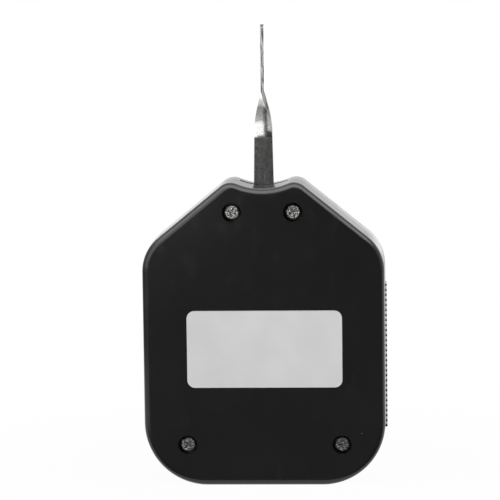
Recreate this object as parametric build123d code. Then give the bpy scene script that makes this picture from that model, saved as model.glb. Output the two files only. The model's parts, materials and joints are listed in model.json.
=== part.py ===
# Lever type force gauge: a moulded two part case, a geared movement and a dial under a turning bezel.
#
# Every piece is drawn lying on its back: X runs across the case, Y from its base up to the feeler
# lever, and Z from the back cover towards the dial, with Z = 0 halfway through the whole depth.
# stand_up then turns each piece, so that the gauge stands on its base with the dial facing -Y.
# Millimetres and degrees throughout.

from build123d import *

import os
from math import acos, asin, cos, degrees, pi, radians, sin, sqrt, tan

# Outline of the case, seen from the front
case_width = 62.6
base_corner_radius = 16.5
corner_height = 61.1
corner_radius = 11.3
slope_angle = 39.1
notch_height = 77.1
notch_radius = 17.0
peak_radius = 4.2
base_stock = 0.25

# Depths, from the back face at back_z to the top of the bezel at bezel_top_z
back_z = -11.0
parting_z = -1.0
case_top_z = 7.8
bezel_top_z = 11.0

# Moulded walls
wall = 2.0
front_wall = 1.8
draft_angle = 1.0
back_edge_radius = 1.6
front_edge_radius = 1.8
tongue_height = 1.0
tongue_thick = 0.9
tongue_clearance = 0.05

# Case screws
screw_spots = [(7.85, 70.95), (-7.85, 70.95), (19.95, 10.55), (-19.95, 10.55)]
counterbore_radius = 2.5
counterbore_depth = 3.0
boss_radius = 3.5
boss_end_z = -6.5
pillar_radius = 2.6
screw_head_radius = 2.0
screw_head_height = 1.5
screw_head_edge = 0.35
screw_shank_radius = 1.1
screw_hole_slack = 0.15
screw_point_height = 1.0
screw_length = 7.5
screw_hole_depth = 9.0
cross_arm = 1.15
cross_width = 0.48
cross_depth = 1.1
case_screw_turns = (20, 65, 40, 75)

# Grip ribs on both sides of the front case
rib_count = 29
rib_pitch = 1.32
rib_first_height = 13.85
rib_width = 0.65
rib_reach = 0.35
rib_root = 0.6
rib_top_z = 5.2
rib_draft = 0.6

# Stiffening ribs across the floor of the back cover
floor_rib_heights = (18.0, 54.0)
floor_rib_thick = 1.0
floor_rib_depth = 1.2

# Label
label_width = 40.0
label_height = 20.0
label_radius = 2.0
label_thick = 0.2
label_recess = 0.25
label_margin = 0.2
label_centre = (-0.2, 35.6)

# Gear train
gear_module = 0.35
pressure_angle = 25.0
dedendum = 1.25
tooth_root_depth = 0.1
sector_full_teeth = 144
sector_teeth = 13
pinion_teeth = 12
tooth_backlash = 0.03
dial_height = 31.0
centre_distance = gear_module * (sector_full_teeth + pinion_teeth) / 2
pivot_height = dial_height + centre_distance
lever_swing = 10.0

# Feeler lever
blade_thick = 0.9
blade_z = -0.25
blade_foot = 4.7
blade_foot_width = 5.8
blade_foot_radius = 2.4
blade_neck_width = 4.68
blade_twist_top_width = 4.4
blade_tip_width = 4.0
blade_tip_radius = 1.0
twist_start = 89.4
twist_end = 101.4
twist_steps = 6
blade_top = 118.5
slot_half_width = 6.2
slot_height = 8.0
slot_top_z = 1.5

# Movement plates and what joins them
plate_height = 43.0
plate_centre = 43.5
plate_corner_radius = 4.0
rear_plate_width = 33.0
rear_plate_z = -6.5
rear_plate_thick = 1.1
rear_window = (5.0, 20.0)
rear_window_spot = (10.5, 43.5)
front_plate_width = 45.0
front_plate_z = 3.0
front_plate_thick = 1.2
front_window = (8.0, 18.0)
front_window_spot = (16.0, 42.5)
window_radius = 2.4
pillar_spots = [(13.5, 26.0), (-13.5, 26.0), (13.5, 61.0), (-13.5, 61.0)]
plate_pillar_radius = 2.2
tenon_radius = 1.3
plate_screw_radius = 1.0
post_spots = [(20.0, 27.5), (-20.0, 27.5), (20.0, 57.5), (-20.0, 57.5)]
post_radius = 2.6
movement_screw_radius = 0.9
movement_screw_hole_radius = 1.0
post_hole_floor = 0.8
pillar_hole_depth = 4.0
small_head_radius = 1.8
small_head_height = 1.0
plate_screw_length = 4.4
movement_screw_length = 3.6
driver_slot_width = 0.45
driver_slot_depth = 0.5
plate_screw_turns = (-22, 22, -22, 22)
movement_screw_turns = (-60, 60, -60, 60)

# Travel stops
stop_distance = 5.9
stop_radius = 0.8
stop_gap = 0.05
stop_end_z = -0.6

# Shafts and bushes
running_clearance = 0.03
fit_clearance = 0.01
end_play = 0.15
bush_radius = 1.6
bush_flange_radius = 2.2
bush_flange_thick = 0.25
lever_shaft_radius = 1.0
lever_collar_radius = 1.5
lever_pivot_radius = 0.6
arbor_radius = 0.8
arbor_collar_radius = 1.1
arbor_pivot_radius = 0.45
arbor_front_radius = 0.5
arbor_top_z = 9.5

# Lever hub, sector and balance weight
hub_flange_radius = 4.4
hub_flange_thick = 0.8
hub_boss_radius = 2.0
sector_thick = 0.8
sector_rim = 2.4
sector_hub_radius = 4.8
sector_slot = (9.0, 1.6)
sector_slot_distance = 11.5
rivet_offset = 3.2
rivet_radius = 0.6
rivet_head_radius = 0.95
rivet_head_height = 0.3
weight_inner_radius = 13.6
weight_outer_radius = 21.4
weight_thick = 3.0
weight_half_angle = 13.0
weight_rivet = (1.5, 19.0)
rim_margin_angle = 1.0
pinion_z = 0.35
pinion_thick = 1.4

# Springs
main_spring_z = -4.5
main_spring_height = 1.1
main_spring_thick = 0.22
main_spring_start = 2.3
main_spring_pitch = 0.95
main_spring_turns = 4
hairspring_z = -3.7
hairspring_height = 0.6
hairspring_thick = 0.14
hairspring_start = 1.9
hairspring_pitch = 0.8
hairspring_turns = 4
collet_clearance = 0.35
collet_overhang = 0.1
stud_radius = 0.8
stud_height = 0.2
spring_end_length = 2.0

# Bezel, lens, dial and pointer
bezel_radius = 28.5
bezel_bottom_z = 7.95
bezel_bore_radius = 27.1
bezel_lip_radius = 23.4
bezel_lip_z = 10.4
bezel_chamfer = 0.5
knurl_count = 90
knurl_crest = (0.18, 0.52)
knurl_foot = 0.7
knurl_depth = 0.3
knurl_relief = 0.05
knurl_band = (8.5, 10.3)
collar_inner_radius = 25.5
collar_outer_radius = 27.0
collar_top_z = 10.2
groove_z = 8.9
groove_height = 0.6
groove_depth = 0.45
snap_ring_play = 0.1
snap_ring_gap = 30.0
arbor_opening_radius = 3.0
dial_radius = 25.3
dial_z = 8.1
dial_thick = 0.5
dial_hole_radius = 1.5
spacer_inner_radius = 23.8
spacer_slope = 0.4
lens_z = 9.7
lens_thick = 0.7
lens_crown = 0.5
lens_crown_radius = 21.0
zero_range = 12.0
stop_pin_radius = 0.5
stop_pin_distance = 24.7
stop_pin_seat = 1.2
stop_pin_play = 0.1
pointer_length = 21.0
pointer_tail = 7.0
pointer_width = 1.9
pointer_tail_width = 2.3
pointer_tip_width = 0.35
pointer_z = 9.0
pointer_thick = 0.25
pointer_boss_radius = 1.2
pointer_disc_radius = 2.8
pointer_flange_radius = 2.1
pointer_flange_thick = 0.2
pointer_boss_height = 0.75
pointer_boss_edge = 0.25


def stand_up(shape):
    """Turns a piece from the drawing position to the standing one."""
    return Rot(90, 0, 0) * shape


def disc(radius, low, high, centre=(0, 0)):
    """A cylinder along Z between two depths."""
    return Pos(centre[0], centre[1], low) * extrude(Circle(radius), high - low)


def slab(width, height, low, high, centre=(0, 0), radius=0.0):
    """A plate across the case between two depths, with rounded corners if radius is given."""
    shape = RectangleRounded(width, height, radius) if radius else Rectangle(width, height)
    return Pos(centre[0], centre[1], low) * extrude(shape, high - low)


def ring_of(profile):
    """A full turn about Z of a closed profile of (radius, depth) points."""
    face = Plane.XZ * make_face(Polyline(*profile, close=True))
    return revolve(face, Axis.Z)


def case_outline():
    """Outline of the case at the parting plane: round base corners, sloped shoulders, hollow notch."""
    half = case_width / 2
    run = Vector(-cos(radians(slope_angle)), sin(radians(slope_angle)))
    corner = Vector(half, corner_height)
    notch_centre = Vector(0, notch_height + notch_radius)
    gap = corner - notch_centre
    along = run.dot(gap)
    reach = -along - sqrt(along**2 - gap.dot(gap) + notch_radius**2)
    peak = corner + run * reach
    side = FilletPolyline(
        (0, -base_stock),
        (half, -base_stock),
        (half, corner_height),
        (peak.X, peak.Y),
        radius=[base_corner_radius, corner_radius],
    )
    notch = ThreePointArc((peak.X, peak.Y), (0, notch_height), (-peak.X, peak.Y))
    outline = make_face([*side.edges(), *mirror(side, Plane.YZ).edges(), notch])
    peaks = [v for v in outline.vertices() if abs(v.Y - peak.Y) < 0.001]
    return fillet(peaks, peak_radius)


def drafted_block(depth, edge_radius):
    """Solid of the case outline from Z = 0 up, drafted, with its top edge rounded and a flat base."""
    block = extrude(case_outline(), depth, taper=draft_angle)
    block = fillet(block.faces().sort_by(Axis.Z)[-1].edges(), edge_radius)
    return block - Pos(0, -5, depth / 2) * Box(2 * case_width, 10, 2 * depth)


def cavity_block(inset, low, high):
    """The case outline drawn in by inset, as a straight block between two depths."""
    return Pos(0, 0, low) * extrude(offset(case_outline(), -inset), high - low)


def lever_slot(top):
    """The block that clears the lever where it leaves the case."""
    return slab(2 * slot_half_width, slot_height, parting_z, top, (0, notch_height))


def back_cover():
    """Rear half shell with screw bosses, a tongue round its rim and a shallow place for the label."""
    shell = Pos(0, 0, parting_z) * Rot(0, 180, 0) * drafted_block(parting_z - back_z, back_edge_radius)
    shell -= cavity_block(wall, back_z + wall, parting_z)
    tongue = cavity_block(wall - tongue_thick, parting_z, parting_z + tongue_height)
    tongue -= cavity_block(wall, parting_z, parting_z + tongue_height)
    shell += tongue - lever_slot(parting_z + tongue_height)
    for spot in screw_spots:
        shell += disc(boss_radius, back_z + wall, boss_end_z, spot)
    for spot in screw_spots:
        shell -= disc(counterbore_radius, back_z, back_z + counterbore_depth, spot)
        shell -= disc(screw_shank_radius + screw_hole_slack, back_z, boss_end_z, spot)
    floor = back_z + wall
    for height in floor_rib_heights:
        shell += slab(case_width - wall, floor_rib_thick, floor, floor + floor_rib_depth, (0, height))
    recess_size = (label_width + 2 * label_margin, label_height + 2 * label_margin)
    recess_depths = (back_z, back_z + label_recess)
    shell -= slab(*recess_size, *recess_depths, label_centre, label_radius + label_margin)
    return shell


def side_ribs():
    """Grip ribs on both side walls of the front case, running forward from the parting plane."""
    root = case_width / 2 - rib_root
    shoulder = case_width / 2 + rib_reach / 2
    crest = case_width / 2 + rib_reach
    half = rib_width / 2
    profile = make_face(
        Polyline(
            (root, -half),
            (shoulder, -half),
            (crest, -half / 2),
            (crest, half / 2),
            (shoulder, half),
            (root, half),
            close=True,
        )
    )
    rib = Pos(0, 0, parting_z) * extrude(profile, rib_top_z - parting_z, taper=rib_draft)
    ribs = []
    for side in (0, 180):
        for n in range(rib_count):
            ribs.append(Pos(0, rib_first_height + n * rib_pitch, 0) * Rot(0, 0, side) * rib)
    return ribs


def front_case():
    """Front half shell with grip ribs, screw pillars, movement posts and the collar for the bezel."""
    case = Pos(0, 0, parting_z) * drafted_block(case_top_z - parting_z, front_edge_radius)
    case += side_ribs()
    inner_top = case_top_z - front_wall
    case -= cavity_block(wall, parting_z, inner_top)
    rebate_top = parting_z + tongue_height + tongue_clearance
    case -= cavity_block(wall - tongue_thick - tongue_clearance, parting_z, rebate_top)
    case -= lever_slot(slot_top_z)
    for spot in screw_spots:
        case += disc(pillar_radius, boss_end_z, inner_top, spot)
        case -= disc(screw_shank_radius + fit_clearance, boss_end_z, boss_end_z + screw_hole_depth, spot)
    post_low = front_plate_z + front_plate_thick
    for spot in post_spots:
        case += disc(post_radius, post_low, inner_top, spot)
        case -= disc(movement_screw_radius + fit_clearance, post_low, case_top_z - post_hole_floor, spot)
    centre = (0, dial_height)
    case += disc(collar_outer_radius, case_top_z, collar_top_z, centre)
    case -= disc(collar_inner_radius, case_top_z, collar_top_z, centre)
    groove = disc(collar_outer_radius + 1, groove_z, groove_z + groove_height, centre)
    groove -= disc(collar_outer_radius - groove_depth, groove_z, groove_z + groove_height, centre)
    case -= groove
    case -= disc(arbor_opening_radius, inner_top, case_top_z, centre)
    pin_hole = (stop_pin_radius + fit_clearance, case_top_z - stop_pin_seat, case_top_z)
    case -= disc(*pin_hole, stop_pin_spot())
    return case


def stop_pin_spot():
    """Where the pin stands that limits the zero setting, near the foot of the dial."""
    return (0, dial_height - stop_pin_distance)


def pan_screw():
    """Case screw with a pan head on -Z, a cross recess and a coned point, its seat at Z = 0."""
    profile = Polyline(
        (0, -screw_head_height),
        (screw_head_radius - screw_head_edge, -screw_head_height),
        (screw_head_radius, screw_head_edge - screw_head_height),
        (screw_head_radius, 0),
        (screw_shank_radius, 0),
        (screw_shank_radius, screw_length),
        (screw_shank_radius / 4, screw_length + screw_point_height),
        (0, screw_length + screw_point_height),
        close=True,
    )
    screw = revolve(Plane.XZ * make_face(profile), Axis.Z)
    mouth = Plane.XY * Rectangle(2 * cross_arm, cross_width)
    floor = Pos(0, 0, cross_depth) * Rectangle(cross_arm, cross_width / 2)
    wing = Pos(0, 0, -screw_head_height) * loft([mouth, floor])
    return screw - wing - Rot(0, 0, 90) * wing


def case_screws():
    """The four screws that hold the back cover, each turned as it happened to stop."""
    seat = back_z + counterbore_depth
    spots = zip(screw_spots, case_screw_turns)
    return [Pos(x, y, seat) * Rot(0, 0, turn) * pan_screw() for (x, y), turn in spots]


def blank_label():
    """Thin sticker with round corners, lying in its recess."""
    low = back_z + label_recess - label_thick
    return slab(label_width, label_height, low, low + label_thick, label_centre, label_radius)


def rear_plate():
    """Rear plate of the movement, with holes for its screws, bushes and spring studs."""
    top = rear_plate_z + rear_plate_thick
    centre = (0, plate_centre)
    plate = slab(rear_plate_width, plate_height, rear_plate_z, top, centre, plate_corner_radius)
    x, y = rear_window_spot
    for side in (-1, 1):
        plate -= slab(*rear_window, rear_plate_z, top, (side * x, y), window_radius)
    for spot in pillar_spots:
        plate -= disc(plate_screw_radius + fit_clearance, rear_plate_z, top, spot)
    for height in (dial_height, pivot_height):
        plate -= disc(bush_radius + fit_clearance, rear_plate_z, top, (0, height))
    for spot in (main_stud_spot(), hair_stud_spot()):
        plate -= disc(stud_radius + fit_clearance, rear_plate_z, top, spot)
    return plate


def front_plate():
    """Front plate of the movement, screwed to posts inside the front case."""
    top = front_plate_z + front_plate_thick
    centre = (0, plate_centre)
    plate = slab(front_plate_width, plate_height, front_plate_z, top, centre, plate_corner_radius)
    x, y = front_window_spot
    for side in (-1, 1):
        plate -= slab(*front_window, front_plate_z, top, (side * x, y), window_radius)
    for spot in pillar_spots:
        plate -= disc(tenon_radius + fit_clearance, front_plate_z, top, spot)
    for spot in post_spots:
        plate -= disc(movement_screw_hole_radius, front_plate_z, top, spot)
    for height in (dial_height, pivot_height):
        plate -= disc(bush_radius + fit_clearance, front_plate_z, top, (0, height))
    for spot in stop_spots():
        plate -= disc(stop_radius + fit_clearance, front_plate_z, top, spot)
    return plate


def plate_pillars():
    """Four pillars that space the plates, each with a tenon riveted into the front plate."""
    low = rear_plate_z + rear_plate_thick
    pillars = []
    for spot in pillar_spots:
        pillar = disc(plate_pillar_radius, low, front_plate_z, spot)
        pillar += disc(tenon_radius, front_plate_z, front_plate_z + front_plate_thick, spot)
        hole = disc(plate_screw_radius + fit_clearance, low, low + pillar_hole_depth, spot)
        pillars.append(pillar - hole)
    return pillars


def slotted_screw(radius, length):
    """Cheese head screw, head on -Z, its seat at Z = 0."""
    screw = disc(small_head_radius, -small_head_height, 0) + disc(radius, 0, length)
    slot = Rectangle(3 * small_head_radius, driver_slot_width)
    return screw - Pos(0, 0, -small_head_height) * extrude(slot, driver_slot_depth)


def plate_screws():
    """Screws through the rear plate into the pillars."""
    screw = slotted_screw(plate_screw_radius, plate_screw_length)
    spots = zip(pillar_spots, plate_screw_turns)
    return [Pos(x, y, rear_plate_z) * Rot(0, 0, turn) * screw for (x, y), turn in spots]


def movement_screws():
    """Screws through the front plate into the posts of the front case."""
    screw = slotted_screw(movement_screw_radius, movement_screw_length)
    spots = zip(post_spots, movement_screw_turns)
    return [Pos(x, y, front_plate_z) * Rot(0, 0, turn) * screw for (x, y), turn in spots]


def bush_pair(height, front_bore, rear_bore):
    """Two flanged brass bushes on one axis, one pressed into each plate from outside."""
    centre = (0, height)
    low = rear_plate_z - bush_flange_thick
    rear = disc(bush_radius, rear_plate_z, rear_plate_z + rear_plate_thick, centre)
    rear += disc(bush_flange_radius, low, rear_plate_z, centre)
    rear -= disc(rear_bore + running_clearance, low, rear_plate_z + rear_plate_thick, centre)
    seat = front_plate_z + front_plate_thick
    high = seat + bush_flange_thick
    front = disc(bush_radius, front_plate_z, seat, centre)
    front += disc(bush_flange_radius, seat, high, centre)
    front -= disc(front_bore + running_clearance, front_plate_z, high, centre)
    return [rear, front]


def stop_spots():
    """Centres of the two pins that the lever meets just past the end of its swing."""
    along = sqrt(stop_distance**2 - (blade_foot_width / 2 + stop_radius) ** 2)
    across = blade_half_width(pivot_height + along) + stop_radius + stop_gap
    angle = radians(lever_swing) + asin(across / stop_distance)
    x = stop_distance * sin(angle)
    y = pivot_height + stop_distance * cos(angle)
    return [(x, y), (-x, y)]


def travel_stops():
    """Two steel pins riveted in the front plate that limit the swing of the lever."""
    high = front_plate_z + front_plate_thick
    return [disc(stop_radius, stop_end_z, high, spot) for spot in stop_spots()]


def blade_half_width(height):
    """Half the width of the flat part of the feeler lever at a height."""
    share = (height - pivot_height) / (twist_start - pivot_height)
    return (blade_foot_width + (blade_neck_width - blade_foot_width) * share) / 2


def feeler_lever():
    """Flat steel strip with a quarter turn twist, so that its tip meets the work with its flat side."""
    middle = blade_z + blade_thick / 2
    foot = pivot_height - blade_foot
    low, high = blade_half_width(foot), blade_half_width(twist_start)
    flat = make_face(
        Polyline((-low, foot), (low, foot), (high, twist_start), (-high, twist_start), close=True)
    )
    corners = [v for v in flat.vertices() if v.Y < foot + 0.1]
    strip = Pos(0, 0, blade_z) * extrude(fillet(corners, blade_foot_radius), blade_thick)
    sections = []
    for n in range(twist_steps + 1):
        share = n / twist_steps
        width = blade_neck_width + (blade_twist_top_width - blade_neck_width) * share
        angle = radians(90 * share)
        height = twist_start + (twist_end - twist_start) * share
        place = Plane(origin=(0, height, middle), x_dir=(cos(angle), 0, sin(angle)), z_dir=(0, 1, 0))
        sections.append(place * Rectangle(width, blade_thick))
    strip += loft(sections)
    tip = make_face(
        Polyline(
            (-blade_twist_top_width / 2, twist_end),
            (blade_twist_top_width / 2, twist_end),
            (blade_tip_width / 2, blade_top),
            (-blade_tip_width / 2, blade_top),
            close=True,
        )
    )
    corners = [v for v in tip.vertices() if v.Y > blade_top - 0.1]
    tip = extrude(fillet(corners, blade_tip_radius), blade_thick / 2, both=True)
    strip += Pos(0, 0, middle) * Rot(0, 90, 0) * tip
    pivot = (0, pivot_height)
    strip -= disc(hub_boss_radius + fit_clearance, blade_z, blade_z + blade_thick, pivot)
    for spot in rivet_spots():
        strip -= disc(rivet_radius + fit_clearance, blade_z, blade_z + blade_thick, spot)
    return strip


def rivet_spots():
    """Centres of the rivets above and below the lever shaft."""
    return [(0, pivot_height - rivet_offset), (0, pivot_height + rivet_offset)]


def weight_rivet_spots():
    """Centres of the two rivets that hold the balance weight to the sector."""
    across, down = weight_rivet
    return [(across, pivot_height - down), (-across, pivot_height - down)]


def lever_hub():
    """Brass hub that carries the lever and the sector on the shaft."""
    pivot = (0, pivot_height)
    low = blade_z - hub_flange_thick
    high = blade_z + blade_thick + sector_thick + rivet_head_height
    hub = disc(hub_flange_radius, low, blade_z, pivot)
    hub += disc(hub_boss_radius, blade_z, high, pivot)
    hub -= disc(lever_shaft_radius + fit_clearance, low, high, pivot)
    for spot in rivet_spots():
        hub -= disc(rivet_radius + fit_clearance, low, blade_z, spot)
    return hub


def lever_rivets():
    """Two rivets through hub, lever and sector, and two through the balance weight and the sector."""
    sector_low = blade_z + blade_thick
    sector_high = sector_low + sector_thick
    rivets = []
    for spot in rivet_spots():
        rivets.append(disc(rivet_radius, blade_z - hub_flange_thick, sector_high, spot))
    for spot in weight_rivet_spots():
        rivets.append(disc(rivet_radius, sector_low - weight_thick, sector_high, spot))
    head = disc(rivet_head_radius, sector_high, sector_high + rivet_head_height)
    spots = [*rivet_spots(), *weight_rivet_spots()]
    return [rivet + Pos(*spot) * head for rivet, spot in zip(rivets, spots)]


def turned_shaft(height, low, high, radius, collar, rear_pivot, front_pivot):
    """Shaft made of steps along one axis. Every step is (radius, low, high) or (radius, end)."""
    collar_radius, collar_low, collar_high = collar
    shaft = disc(radius, low, high) + disc(collar_radius, collar_low, collar_high)
    shaft += disc(rear_pivot[0], rear_pivot[1], low)
    shaft += disc(front_pivot[0], high, front_pivot[1])
    return Pos(0, height) * shaft


def lever_shaft():
    """Steel shaft that the lever swings on, with a collar that the hub and the collet seat on."""
    low = rear_plate_z + rear_plate_thick + end_play
    high = front_plate_z - end_play
    collar_low = main_spring_z + main_spring_height + collet_overhang
    collar = (lever_collar_radius, collar_low, blade_z - hub_flange_thick)
    rear = (lever_pivot_radius, rear_plate_z)
    front = (lever_pivot_radius, front_plate_z + front_plate_thick)
    return turned_shaft(pivot_height, low, high, lever_shaft_radius, collar, rear, front)


def involute_tooth(teeth, at_angle):
    """Face of one gear tooth, its middle at an angle about the gear's centre."""
    pitch_radius = gear_module * teeth / 2
    base_radius = pitch_radius * cos(radians(pressure_angle))
    tip_radius = pitch_radius + gear_module
    root_radius = pitch_radius - dedendum * gear_module
    start_radius = max(base_radius, root_radius)
    pressure = radians(pressure_angle)
    half_at_pitch = pi / (2 * teeth) - tooth_backlash / pitch_radius
    half_at_base = half_at_pitch + tan(pressure) - pressure

    def flank(radius, side):
        roll = acos(min(1.0, base_radius / radius))
        angle = radians(at_angle) + side * (half_at_base - tan(roll) + roll)
        return (radius * cos(angle), radius * sin(angle))

    def root(side):
        angle = radians(at_angle) + side * half_at_base
        inside = root_radius - tooth_root_depth
        return (inside * cos(angle), inside * sin(angle))

    middle_radius = (start_radius + tip_radius) / 2
    crown = (tip_radius * cos(radians(at_angle)), tip_radius * sin(radians(at_angle)))
    right = ThreePointArc(flank(start_radius, -1), flank(middle_radius, -1), flank(tip_radius, -1))
    left = ThreePointArc(flank(tip_radius, 1), flank(middle_radius, 1), flank(start_radius, 1))
    top = ThreePointArc(flank(tip_radius, -1), crown, flank(tip_radius, 1))
    foot = Polyline(flank(start_radius, 1), root(1), root(-1), flank(start_radius, -1))
    return make_face([right, top, left, *foot.edges()])


def wedge(radius, half_angle):
    """Pie slice that opens downwards, as a face."""
    reach = radius / cos(radians(half_angle))
    x = reach * sin(radians(half_angle))
    return Circle(radius) & make_face(Polyline((0, 0), (-x, -radius), (x, -radius), close=True))


def sector_gear():
    """Brass sector below the lever shaft: hub disc, slotted arm and a toothed rim."""
    root_radius = gear_module * (sector_full_teeth / 2 - dedendum)
    tooth_step = 360 / sector_full_teeth
    rim_half_angle = tooth_step * sector_teeth / 2 + rim_margin_angle
    rim = wedge(root_radius, rim_half_angle) - Circle(root_radius - sector_rim)
    face = rim + wedge(root_radius, rim_half_angle / 2) + Circle(sector_hub_radius)
    face -= Pos(0, -sector_slot_distance) * SlotOverall(*sector_slot, rotation=90)
    first = -90 - (sector_teeth - 1) / 2 * tooth_step
    for n in range(sector_teeth):
        face += involute_tooth(sector_full_teeth, first + n * tooth_step)
    low = blade_z + blade_thick
    gear = Pos(0, pivot_height, low) * extrude(face, sector_thick)
    gear -= disc(hub_boss_radius + fit_clearance, low, low + sector_thick, (0, pivot_height))
    for spot in (*rivet_spots(), *weight_rivet_spots()):
        gear -= disc(rivet_radius + fit_clearance, low, low + sector_thick, spot)
    return gear


def counterweight():
    """Brass weight behind the sector that balances the lever about its shaft."""
    high = blade_z + blade_thick
    low = high - weight_thick
    face = wedge(weight_outer_radius, weight_half_angle) - Circle(weight_inner_radius)
    weight = Pos(0, pivot_height, low) * extrude(face, weight_thick)
    for spot in weight_rivet_spots():
        weight -= disc(rivet_radius + fit_clearance, low, high, spot)
    return weight


def spiral_spring(start, pitch, turns, thick, low, height, centre, collet_radius):
    """Flat spiral of half turns whose centres alternate, with a tab at the collet and a straight end."""
    strip = slab(start - collet_radius, thick, low, low + height, ((start + collet_radius) / 2, thick / 2))
    for n in range(2 * turns):
        radius = start + n * pitch / 2
        shift = 0 if n % 2 == 0 else pitch / 2
        side = 1 if n % 2 == 0 else -1
        half_plane = Pos(0, side * 2 * radius) * Rectangle(6 * radius, 4 * radius)
        coil = Circle(radius + thick / 2) - Circle(radius - thick / 2)
        coil = (Pos(shift, 0) * coil) & half_plane
        strip += Pos(0, 0, low) * extrude(coil, height)
    outer = start + turns * pitch
    strip += slab(thick, spring_end_length, low, low + height, (outer, spring_end_length / 2))
    return Pos(centre[0], centre[1]) * strip


def spring_collet(start, shaft_radius, low, height, centre_height):
    """Brass collet that grips a spiral spring on its shaft."""
    ends = (low - collet_overhang, low + height + collet_overhang)
    collet = disc(start - collet_clearance, *ends) - disc(shaft_radius + fit_clearance, *ends)
    return Pos(0, centre_height) * collet


def main_stud_spot():
    """Centre of the stud that holds the outer end of the main spring."""
    return (main_spring_start + main_spring_turns * main_spring_pitch, pivot_height + spring_end_length / 2)


def hair_stud_spot():
    """Centre of the stud that holds the outer end of the hairspring."""
    return (hairspring_start + hairspring_turns * hairspring_pitch, dial_height + spring_end_length / 2)


def spring_stud(spot, spring_low, spring_height, spring_thick):
    """Pin in the rear plate, slit for the end of its spring."""
    high = spring_low + spring_height + stud_height
    stud = disc(stud_radius, rear_plate_z, high, spot)
    return stud - slab(spring_thick, 3 * stud_radius, spring_low, high, spot)


def main_spring():
    """Measuring spring round the lever shaft."""
    return spiral_spring(
        main_spring_start,
        main_spring_pitch,
        main_spring_turns,
        main_spring_thick,
        main_spring_z,
        main_spring_height,
        (0, pivot_height),
        main_spring_start - collet_clearance,
    )


def hairspring():
    """Light spring round the pointer arbor that takes up the play between the teeth."""
    return spiral_spring(
        hairspring_start,
        hairspring_pitch,
        hairspring_turns,
        hairspring_thick,
        hairspring_z,
        hairspring_height,
        (0, dial_height),
        hairspring_start - collet_clearance,
    )


def pointer_arbor():
    """Steel arbor from the rear plate through the dial, which carries pinion and pointer."""
    low = rear_plate_z + rear_plate_thick + end_play
    high = front_plate_z - end_play
    collar_low = hairspring_z + hairspring_height + collet_overhang
    collar = (arbor_collar_radius, collar_low, pinion_z)
    rear = (arbor_pivot_radius, rear_plate_z)
    front = (arbor_front_radius, arbor_top_z)
    return turned_shaft(dial_height, low, high, arbor_radius, collar, rear, front)


def pinion():
    """Steel pinion in mesh with the sector, a gap between teeth facing the sector's middle tooth."""
    face = Circle(gear_module * (pinion_teeth / 2 - dedendum))
    step = 360 / pinion_teeth
    for n in range(pinion_teeth):
        face += involute_tooth(pinion_teeth, 90 + (n + 0.5) * step)
    face -= Circle(arbor_radius + fit_clearance)
    return Pos(0, dial_height, pinion_z) * extrude(face, pinion_thick)


def pointer():
    """Thin tapered pointer with a short broad tail."""
    half = pointer_width / 2
    needle = make_face(
        Polyline(
            (-half, 0),
            (-pointer_tip_width / 2, pointer_length),
            (pointer_tip_width / 2, pointer_length),
            (half, 0),
            (pointer_tail_width / 2, -pointer_tail),
            (-pointer_tail_width / 2, -pointer_tail),
            close=True,
        )
    )
    face = needle + Circle(pointer_disc_radius) - Circle(pointer_boss_radius + fit_clearance)
    return Pos(0, dial_height, pointer_z) * extrude(face, pointer_thick)


def pointer_hub():
    """Turned hub that holds the pointer on the end of the arbor."""
    low = pointer_z - pointer_flange_thick
    boss = disc(pointer_boss_radius, pointer_z, pointer_z + pointer_boss_height)
    boss = chamfer(boss.faces().sort_by(Axis.Z)[-1].edges(), pointer_boss_edge)
    hub = disc(pointer_flange_radius, low, pointer_z) + boss
    hub -= disc(arbor_front_radius + fit_clearance, low, arbor_top_z)
    return Pos(0, dial_height) * hub


def knurl_outline():
    """Edge of the bezel seen from the front: low ridges with slanted flanks."""
    step = 2 * pi / knurl_count
    rise, fall = knurl_crest
    ridge = ((0, knurl_depth), (rise, 0), (fall, 0), (knurl_foot, knurl_depth))
    points = []
    for n in range(knurl_count):
        for share, drop in ridge:
            angle = (n + share) * step
            points.append(((bezel_radius - drop) * cos(angle), (bezel_radius - drop) * sin(angle)))
    return make_face(Polyline(*points, close=True))


def bezel_ring():
    """Turning bezel with a knurled edge, a lip over the lens and an inner groove for the snap ring."""
    groove_low = groove_z - snap_ring_play
    groove_high = groove_z + groove_height + snap_ring_play
    groove_radius = bezel_bore_radius + groove_depth
    rim_radius = bezel_radius - knurl_depth - knurl_relief
    ring = ring_of(
        [
            (bezel_bore_radius, bezel_bottom_z),
            (rim_radius, bezel_bottom_z),
            (rim_radius, bezel_top_z - bezel_chamfer),
            (rim_radius - bezel_chamfer, bezel_top_z),
            (bezel_lip_radius + bezel_chamfer, bezel_top_z),
            (bezel_lip_radius, bezel_lip_z + bezel_chamfer / 4),
            (bezel_lip_radius, bezel_lip_z),
            (bezel_bore_radius, bezel_lip_z),
            (bezel_bore_radius, groove_high),
            (groove_radius, groove_high),
            (groove_radius, groove_low),
            (bezel_bore_radius, groove_low),
        ]
    )
    low, high = knurl_band
    band = knurl_outline() - Circle(bezel_radius - bezel_chamfer)
    return Pos(0, dial_height) * (ring + Pos(0, 0, low) * extrude(band, high - low))


def bezel_snap_ring():
    """Open spring ring that lies in the collar's groove and keeps the bezel on."""
    inner = collar_outer_radius - groove_depth + snap_ring_play / 2
    outer = bezel_bore_radius + groove_depth - snap_ring_play
    thick = groove_height - snap_ring_play
    face = Circle(outer) - Circle(inner) - Rot(0, 0, 180) * wedge(2 * outer, snap_ring_gap / 2)
    return Pos(0, dial_height, groove_z) * extrude(face, thick)


def zero_stop_pin():
    """Pin in the front wall that runs in the dial's edge slot and limits the zero setting."""
    top = dial_z + dial_thick - stop_pin_play
    return disc(stop_pin_radius, case_top_z - stop_pin_seat, top, stop_pin_spot())


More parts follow.
